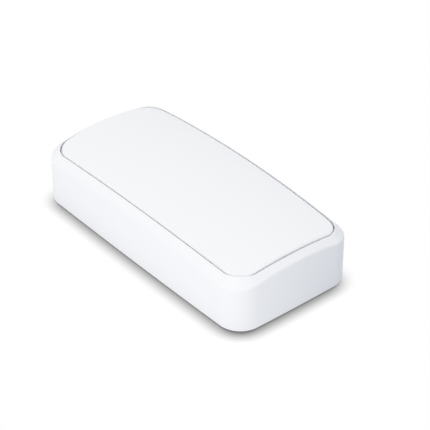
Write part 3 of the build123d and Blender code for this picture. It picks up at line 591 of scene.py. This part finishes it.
@dataclass
class ScrewSet:
    """Pan head screws that stand on one node's places: turned head, cross recess and a rolled thread."""

    node: str
    piece: str
    body: str = "front_body"
    head_radius: float = 1.9
    head_height: float = 1.3
    head_edge: float = 0.45
    head_edge_steps: int = 4
    thread_radius: float = 1.0
    core_radius: float = 0.76
    thread_rise: float = 0.8
    # Where the flank leaves the core, and where the crest begins and ends, as shares of one rise
    flank_share: float = 0.25
    crest_shares: Point = (0.56, 0.69)
    point: float = 0.4
    recess_length: float = 2.2
    recess_width: float = 0.5
    recess_depth: float = 0.7
    recess_edge: float = 0.1
    flats: int = 36
    place_digits: int = 6

    def places(self) -> list[Vector]:
        """Finds the middle of each head's face from the node's box.

        Returns:
            One place for each screw.
        """
        low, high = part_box(self.node)
        inset = self.head_radius * MM
        # Screws in a single row give the same place twice, up to rounding
        xs = sorted({round(x, self.place_digits) for x in (low.x + inset, high.x - inset)})
        return [Vector((x, y, low.z)) for x in xs for y in (low.y + inset, high.y - inset)]

    def head(self, place: Vector) -> bmesh.types.BMesh:
        """Turns a head and sinks its cross recess.

        Args:
            place: Middle of the head's face.

        Returns:
            The head's mesh.
        """
        radius, height, edge = self.head_radius * MM, self.head_height * MM, self.head_edge * MM
        angles = [i * math.pi / (2 * self.head_edge_steps) for i in range(self.head_edge_steps + 1)]
        rounding = [(radius - edge + edge * math.sin(angle), place.z + edge - edge * math.cos(angle))
                    for angle in angles]
        head = bmesh.new()
        turn(head, [(0, place.z), *rounding, (radius, place.z + height), (0, place.z + height)],
             place.x, place.y, self.flats)
        cutter = bmesh.new()
        depth = Vector((0, 0, self.recess_depth * MM))
        for bar in ((self.recess_length, self.recess_width, 0), (self.recess_width, self.recess_length, 0)):
            reach = Vector(bar) * MM / 2
            add_block(cutter, place - reach - depth, place + reach + depth, self.recess_edge * MM)
        return carved(head, cutter)

    def thread(self, mesh: bmesh.types.BMesh, place: Vector, length: float) -> None:
        """Rolls a thread: a toothed outline that climbs one rise in one turn, closed at both ends.

        Args:
            mesh: The mesh that gets the thread.
            place: Where the thread leaves the head.
            length: Length of the thread, in metres.
        """
        rise, core, crest = self.thread_rise * MM, self.core_radius * MM, self.thread_radius * MM
        tip, shoulder = place.z + length, place.z + length - self.point * MM
        teeth = int((length - self.point * MM) / rise) - 1
        top = place.z + teeth * rise
        tooth = [(core, 0.0), (core, self.flank_share), *((crest, share) for share in self.crest_shares)]
        outline = [(radius, place.z + (climbed + share) * rise)
                   for climbed in range(teeth) for radius, share in tooth]
        outline.append((core, top))
        shank = bmesh.new()
        corners = [shank.verts.new((place.x + radius, place.y, height)) for radius, height in outline]
        edges = [shank.edges.new(pair) for pair in zip(corners, corners[1:])]
        bmesh.ops.spin(shank, geom=corners + edges, cent=place, axis=(0, 0, 1), angle=FULL_TURN,
                       steps=self.flats, dvec=(0, 0, rise / self.flats))
        bmesh.ops.remove_doubles(shank, verts=shank.verts, dist=ROLLED_WELD)
        bmesh.ops.holes_fill(shank, edges=[edge for edge in shank.edges if edge.is_boundary], sides=0)
        turn(shank, [(0, top), (core, top), (core, shoulder), (core / 2, tip), (0, tip)],
             place.x, place.y, self.flats)
        append(mesh, shank)

    def build(self, workshop: Workshop) -> None:
        """Builds all screws of the node as one piece.

        Args:
            workshop: Where the piece is finished.
        """
        low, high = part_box(self.node)
        height = self.head_height * MM
        mesh = bmesh.new()
        for place in self.places():
            append(mesh, self.head(place))
            self.thread(mesh, place + Vector((0, 0, height)), high.z - low.z - height)
        workshop.publish(mesh, self.piece, SCREW_ZINC, self.body, (self.node,))


@dataclass
class Enclosure:
    """Plate, shell, panel, chassis and button, with the marks that their moulds leave."""

    pin_radius: float = 1.3
    pin_step: float = 0.05
    pin_inset: float = 9.0
    pin_aside: float = 5.5
    sign_span: float = 3.4
    sign_bar: float = 0.8
    sign_height: float = 0.12
    sign_shift: float = 5.0

    def dress(self, workshop: Workshop) -> None:
        """Gives the plastic nodes their finishes."""
        for name in ("front_shell", "front_panel", "battery_chassis", "wall_plate", "pairing_button",
                     "light_guide"):
            workshop.dress_node(name)

    def chassis_marks(self, workshop: Workshop) -> None:
        """Builds what is raised on the chassis: a plus sign for the cell, and rings left by ejector pins.

        Args:
            workshop: Where the piece is finished.
        """
        low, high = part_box("battery_chassis")
        mesh = bmesh.new()
        beside = Vector(((CELL_CENTRE.x + high.x) / 2 - self.sign_shift * MM, 0, low.z))
        add_cross(mesh, beside, self.sign_span * MM, self.sign_bar * MM, self.sign_height * MM)
        for x in (low.x + self.pin_inset * MM, high.x - self.pin_inset * MM):
            for y in (-self.pin_aside * MM, self.pin_aside * MM):
                self.pin_ring(mesh, x, y, low.z)
        workshop.publish(mesh, "chassis_mould_marks", CHASSIS_PLASTIC, "front_body")

    def pin_ring(self, mesh: bmesh.types.BMesh, x: float, y: float, face: float) -> None:
        """Adds the witness line that an ejector pin leaves: a thin raised ring.

        Args:
            mesh: The mesh that gets the ring.
            x: Place of the pin.
            y: Place of the pin.
            face: Height of the face that it marks, which looks along -Z.
        """
        radius, step = self.pin_radius * MM, self.pin_step * MM
        turn(mesh, [(radius, face), (radius, face - step), (radius + step, face - step),
                    (radius + 2 * step, face)], x, y)

    def build(self, workshop: Workshop) -> None:
        """Dresses the nodes and builds the marks."""
        self.dress(workshop)
        self.chassis_marks(workshop)


@dataclass
class CoinCell:
    """Can, cap and seal, with the plus sign and the rolled bead that are stamped in the can's face."""

    sign_span: float = 5.0
    sign_bar: float = 1.0
    stamp: float = 0.08
    bead_radius: float = 10.6
    bead_width: float = 0.5
    bead_slope: float = 0.125
    bead_flats: int = 96

    def build(self, workshop: Workshop) -> None:
        """Dresses the cell and stamps its face.

        Args:
            workshop: Where the pieces are finished.
        """
        for name in ("cell_can", "cell_cap", "cell_seal"):
            workshop.dress_node(name)
        face = Vector((CELL_CENTRE.x, CELL_CENTRE.y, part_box("cell_can")[0].z))
        mesh = bmesh.new()
        add_cross(mesh, face, self.sign_span * MM, self.sign_bar * MM, self.stamp * MM)
        inner, outer = self.bead_radius * MM, (self.bead_radius + self.bead_width) * MM
        slope, crest = self.bead_slope * MM, face.z - self.stamp * MM
        turn(mesh, [(inner, face.z), (inner + slope, crest), (outer - slope, crest), (outer, face.z)],
             face.x, face.y, self.bead_flats)
        workshop.publish(mesh, "cell_stamping", CELL_STEEL, "front_body")


@dataclass
class ChipParts:
    """A grid of chip capacitors or resistors, each with two tinned ends."""

    node: str
    piece: str
    columns: int
    rows: int = 2
    length: float = 1.6
    width: float = 0.8
    end_length: float = 0.32
    plating: float = 0.02

    def build(self, workshop: Workshop) -> None:
        """Builds the tinned ends round the bodies of the node.

        Args:
            workshop: Where the piece is finished.
        """
        low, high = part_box(self.node)
        column_step = (high.x - low.x - self.length * MM) / (self.columns - 1)
        row_step = (high.y - low.y - self.width * MM) / (self.rows - 1)
        plating = self.plating * MM
        mesh = bmesh.new()
        for column in range(self.columns):
            for row in range(self.rows):
                corner = Vector((low.x + column * column_step, low.y + row * row_step, low.z))
                for shift in (0.0, (self.length - self.end_length) * MM):
                    foot = corner + Vector((shift, 0, 0))
                    add_block(mesh, foot - Vector((plating, plating, 0)),
                              foot + Vector((self.end_length * MM + plating, self.width * MM + plating,
                                             high.z - low.z + plating)), 2 * plating)
        workshop.publish(mesh, self.piece, TIN_PLATE, "front_body")


@dataclass
class ChipPads:
    """Tinned pads that show at the foot of a leadless chip."""

    node: str
    piece: str
    pads: int = 6
    share_of_side: float = 0.8
    pad_width: float = 0.3
    pad_height: float = 0.2
    proud: float = 0.03

    def build(self, workshop: Workshop) -> None:
        """Builds the pads along the four sides of the node.

        Args:
            workshop: Where the piece is finished.
        """
        low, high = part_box(self.node)
        middle = (low + high) / 2
        half = Vector((self.pad_width, self.pad_width, 0)) * MM / 2
        top = Vector((0, 0, self.pad_height * MM))
        mesh = bmesh.new()
        for pad in range(self.pads):
            share = (pad / (self.pads - 1) - 0.5) * self.share_of_side
            for side in (-1, 1):
                along_x = Vector((middle.x + share * (high.x - low.x), middle.y, low.z))
                along_x.y += side * ((high.y - low.y) / 2 + self.proud * MM - half.y)
                along_y = Vector((middle.x, middle.y + share * (high.y - low.y), low.z))
                along_y.x += side * ((high.x - low.x) / 2 + self.proud * MM - half.x)
                for foot in (along_x, along_y):
                    add_block(mesh, foot - half, foot + half + top, self.proud * MM)
        workshop.publish(mesh, self.piece, TIN_PLATE, "front_body")


@dataclass
class Electronics:
    """Circuit board with its components, contacts, switch and sensor chamber."""

    capacitor_columns: int = 4
    resistor_columns: int = 3

    def build(self, workshop: Workshop) -> None:
        """Dresses the nodes, then builds the tinned ends and pads.

        Args:
            workshop: Where the pieces are finished.
        """
        for name in (
            "circuit_board", "radio_module", "shield_can", "radio_chip", "trace_antenna", "controller_chip",
            "memory_chip", "timing_crystal", "regulator_chip", "power_inductor", "bulk_capacitor",
            "ceramic_capacitors", "chip_resistors", "status_led", "switch_body", "switch_cover",
            "switch_plunger", "positive_contact", "negative_contact", "humidity_sensor", "sensor_gasket",
            "filter_membrane",
        ):
            workshop.dress_node(name)
        ChipParts("ceramic_capacitors", "capacitor_ends", self.capacitor_columns).build(workshop)
        ChipParts("chip_resistors", "resistor_ends", self.resistor_columns).build(workshop)
        ChipPads("controller_chip", "controller_pads").build(workshop)


@dataclass
class Studio:
    """Pale floor, soft light from the front, and the camera at the photograph's angle."""

    azimuth: float = 50.15
    elevation: float = 35.71
    distance: float = 0.42071
    lens: float = 155.04
    sensor: float = 36.0
    aim_right: float = 0.004839
    aim_up: float = 0.004525
    floor_side: float = 6.0
    floor_drop: float = 0.05
    film: float = 0.7
    bounce_front: str = "F3F4F6"
    bounce_back: str = "98A1AF"
    bounce_azimuth: float = 8.0
    bounce_start: float = -9.0
    bounce_end: float = 30.0
    shadow_reach: float = 3.4
    shadow_depth: float = 0.8
    shadow_fall: float = 1.4
    shadow_azimuth: float = 50.0
    shadow_lean: float = 58.0
    # How open the leaning shadow's view still is at the object's foot, and the thin shadow's there
    shadow_open: float = 0.3
    shadow_samples: int = 24
    foot_reach: float = 0.8
    foot_depth: float = 0.12
    foot_open: float = 0.5
    foot_samples: int = 16
    sky_colour: str = "FDFEFF"
    sky: float = 0.92
    backdrop_colour: str = "FFFFFF"
    key_colour: str = "FFF8F0"
    key_azimuth: float = 20.0
    key_elevation: float = 25.0
    key_distance: float = 1.0
    key_size: float = 0.35
    key_level: float = 0.14

    def direction(self, azimuth: float, elevation: float) -> Vector:
        """Direction away from the object.

        Args:
            azimuth: Degrees from the -Y side towards +X.
            elevation: Degrees above the floor.

        Returns:
            A vector of length one.
        """
        turned, raised = math.radians(azimuth), math.radians(elevation)
        level = math.cos(raised)
        return Vector((math.sin(turned) * level, -math.cos(turned) * level, math.sin(raised)))

    def place_camera(self) -> None:
        """Puts the camera where the photograph was taken from."""
        back = self.direction(self.azimuth, self.elevation)
        right = self.direction(self.azimuth + 90, 0)
        lens = bpy.data.cameras.new("camera")
        lens.lens = self.lens
        lens.sensor_width = self.sensor
        camera = bpy.data.objects.new("camera", lens)
        bpy.context.collection.objects.link(camera)
        camera.location = right * self.aim_right + back.cross(right) * self.aim_up + back * self.distance
        camera.rotation_euler = (-back).to_track_quat("-Z", "Y").to_euler()
        bpy.context.scene.camera = camera

    def floor_bounce(self, tree: bpy.types.NodeTree) -> bpy.types.NodeSocket:
        """Makes the light that the floor throws back at the object.

        It is that of a white reflector card lying in front, which fades to bare grey floor behind.

        Args:
            tree: The floor material's tree.

        Returns:
            The bounce's shader.
        """
        place = add_node(tree, "ShaderNodeTexCoord")
        forward = add_node(tree, "ShaderNodeVectorMath", {"operation": "DOT_PRODUCT"},
                           {1: self.direction(self.bounce_azimuth, 0)}, {0: place.outputs["Object"]})
        share = add_node(tree, "ShaderNodeMapRange",
                         values={"From Min": self.bounce_start * MM, "From Max": self.bounce_end * MM},
                         links={"Value": forward.outputs["Value"]})
        tint = add_node(tree, "ShaderNodeMix", {"data_type": "RGBA"},
                        {6: linear(self.bounce_back), 7: linear(self.bounce_front)},
                        {0: share.outputs["Result"]})
        return add_node(tree, "ShaderNodeEmission", links={"Color": tint.outputs[2]}).outputs["Emission"]

    def floor_glow(self, tree: bpy.types.NodeTree) -> bpy.types.NodeSocket:
        """Makes the white that the camera sees, darkened close to the object.

        The shadow leans to the front right, as under a lamp behind the object, and a thin one runs
        round the object's whole foot.

        Args:
            tree: The floor material's tree.

        Returns:
            The glow's shader.
        """
        lean = add_node(tree, "ShaderNodeCombineXYZ")
        leaning = self.direction(self.shadow_azimuth + 180, 90 - self.shadow_lean)
        for axis, part in zip("XYZ", leaning):
            lean.inputs[axis].default_value = part
        shadow = add_node(tree, "ShaderNodeAmbientOcclusion", {"samples": self.shadow_samples},
                          {"Distance": self.shadow_reach * MM}, {"Normal": lean.outputs["Vector"]})
        covered = add_node(tree, "ShaderNodeMapRange",
                           values={"From Min": 1.0, "From Max": self.shadow_open},
                           links={"Value": shadow.outputs["AO"]})
        fallen = add_node(tree, "ShaderNodeMath", {"operation": "POWER"}, {1: self.shadow_fall},
                          {0: covered.outputs["Result"]})
        depth = add_node(tree, "ShaderNodeMath", {"operation": "MULTIPLY"}, {1: self.shadow_depth},
                         {0: fallen.outputs["Value"]})
        foot = add_node(tree, "ShaderNodeAmbientOcclusion", {"samples": self.foot_samples},
                        {"Distance": self.foot_reach * MM})
        rim = add_node(tree, "ShaderNodeMapRange",
                       values={"From Min": 1.0, "From Max": self.foot_open, "To Max": self.foot_depth},
                       links={"Value": foot.outputs["AO"]})
        darkest = add_node(tree, "ShaderNodeMath", {"operation": "MAXIMUM"},
                           links={0: depth.outputs["Value"], 1: rim.outputs["Result"]})
        level = add_node(tree, "ShaderNodeMath", {"operation": "SUBTRACT"}, {0: 1.0},
                         {1: darkest.outputs["Value"]})
        glow = add_node(tree, "ShaderNodeEmission", links={"Strength": level.outputs["Value"]})
        return glow.outputs["Emission"]

    def lay_floor(self) -> None:
        """Lays a white floor that the object's shadow stays on, and that can't be seen from below."""
        mesh = bmesh.new()
        bmesh.ops.create_grid(mesh, x_segments=1, y_segments=1, size=self.floor_side / 2,
                              matrix=Matrix.Translation((0, 0, -self.floor_drop * MM)))
        data = bpy.data.meshes.new("floor")
        mesh.to_mesh(data)
        mesh.free()
        floor = bpy.data.objects.new("floor", data)
        bpy.context.collection.objects.link(floor)
        material = bpy.data.materials.new("matt_card_white")
        material.use_nodes = True
        tree = material.node_tree
        tree.nodes.remove(tree.nodes["Principled BSDF"])
        rays = add_node(tree, "ShaderNodeLightPath")
        seen = add_node(tree, "ShaderNodeMath", {"operation": "MAXIMUM"},
                        links={0: rays.outputs["Is Camera Ray"], 1: rays.outputs["Is Glossy Ray"]})
        top = add_node(tree, "ShaderNodeMixShader",
                       links={0: seen.outputs["Value"], 1: self.floor_bounce(tree),
                              2: self.floor_glow(tree)})
        # Light reaches the back of the object through the film of floor that it lies on
        film = add_node(tree, "ShaderNodeMath", {"operation": "LESS_THAN"}, {1: self.film * MM},
                        {0: rays.outputs["Ray Length"]})
        sides = add_node(tree, "ShaderNodeNewGeometry")
        open_side = add_node(tree, "ShaderNodeMath", {"operation": "MAXIMUM"},
                             links={0: film.outputs["Value"], 1: sides.outputs["Backfacing"]})
        clear = add_node(tree, "ShaderNodeBsdfTransparent")
        shown = add_node(tree, "ShaderNodeMixShader",
                         links={0: open_side.outputs["Value"], 1: top.outputs["Shader"],
                                2: clear.outputs["BSDF"]})
        tree.links.new(shown.outputs["Shader"], tree.nodes["Material Output"].inputs["Surface"])
        data.materials.append(material)

    def light_sky(self) -> None:
        """Sets an even sky that the camera and glass see as plain white."""
        world = bpy.data.worlds.new("studio_sky")
        world.use_nodes = True
        bpy.context.scene.world = world
        tree = world.node_tree
        sky = tree.nodes["Background"]
        sky.inputs["Color"].default_value = linear(self.sky_colour)
        sky.inputs["Strength"].default_value = self.sky
        backdrop = add_node(tree, "ShaderNodeBackground", values={"Color": linear(self.backdrop_colour)})
        rays = add_node(tree, "ShaderNodeLightPath")
        seen = add_node(tree, "ShaderNodeMath", {"operation": "MAXIMUM"},
                        links={0: rays.outputs["Is Camera Ray"], 1: rays.outputs["Is Transmission Ray"]})
        shown = add_node(tree, "ShaderNodeMixShader",
                         links={0: seen.outputs["Value"], 1: sky.outputs["Background"],
                                2: backdrop.outputs["Background"]})
        tree.links.new(shown.outputs["Shader"], tree.nodes["World Output"].inputs["Surface"])

    def hang_key(self) -> None:
        """Hangs the one lamp in front of the object, so that the walls are as bright as the top."""
        away = self.direction(self.key_azimuth, self.key_elevation)
        lamp = bpy.data.lights.new("key", "AREA")
        lamp.size = self.key_size
        # A square lamp of this power gives a white face turned to it the key level
        lamp.energy = self.key_level * (math.pi * self.key_distance) ** 2
        lamp.color = linear(self.key_colour)[:3]
        holder = bpy.data.objects.new("key", lamp)
        bpy.context.collection.objects.link(holder)
        holder.location = away * self.key_distance
        holder.rotation_euler = (-away).to_track_quat("-Z", "Y").to_euler()

    def build(self) -> None:
        """Builds the floor, the light and the camera."""
        self.lay_floor()
        self.light_sky()
        self.hang_key()
        self.place_camera()
        bpy.context.scene.view_settings.view_transform = "Standard"
        LOG.info("studio built")


def main() -> None:
    """Builds the studio and then each sub-assembly in order."""
    logging.basicConfig(level=logging.INFO, format="%(name)s: %(message)s")
    workshop = Workshop()
    Studio().build()
    Enclosure().build(workshop)
    CoinCell().build(workshop)
    Electronics().build(workshop)
    ScrewSet("chassis_screws", "chassis_screw_set").build(workshop)
    ScrewSet("board_screws", "board_screw_set").build(workshop)


if __name__ == "__main__":
    main()
